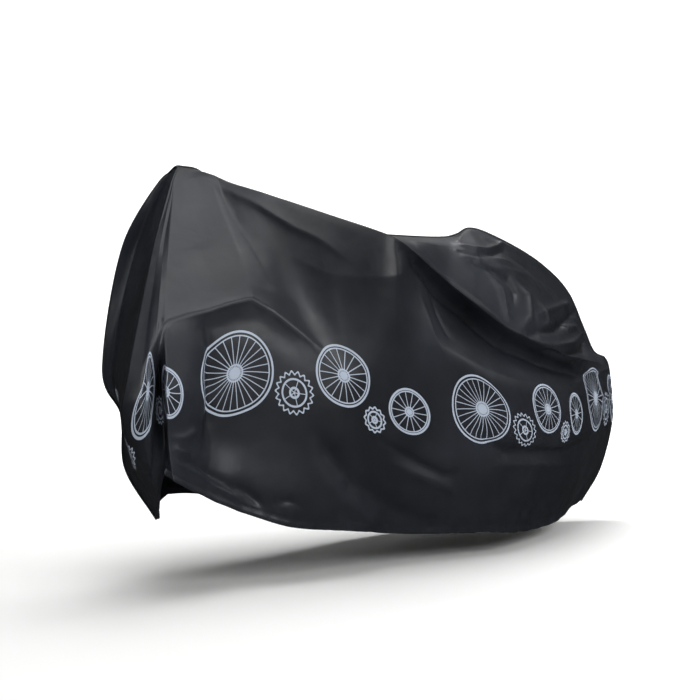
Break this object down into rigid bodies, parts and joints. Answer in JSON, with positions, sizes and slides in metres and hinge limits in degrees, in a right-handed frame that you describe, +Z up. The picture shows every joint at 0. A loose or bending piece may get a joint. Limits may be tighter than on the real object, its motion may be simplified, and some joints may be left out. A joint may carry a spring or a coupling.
{
  "type": "bicycle cover",
  "caption": "Fitted cover of thin film for a standing bicycle, draped, open below, with one centre seam, an elastic hem and a printed band.",
  "frame": {"origin": "at the mount top_rest, under the cover's top point, where it lies on what it covers", "axes": "+X to the rear along the cover's length, +Y to its right side, +Z up; the ground lies at Z = -1.025 m"},
  "size_m": [1.9549, 0.6366, 1.0134],
  "materials": {
    "panel_left_film": "black PEVA film, semi-gloss, with a pale grey-blue printed band",
    "panel_right_film": "black PEVA film, semi-gloss, with a pale grey-blue printed band"
  },
  "bodies": {
    "root": {"panel_left": "panel_left_film", "panel_right": "panel_right_film"}
  },
  "joints": []
}
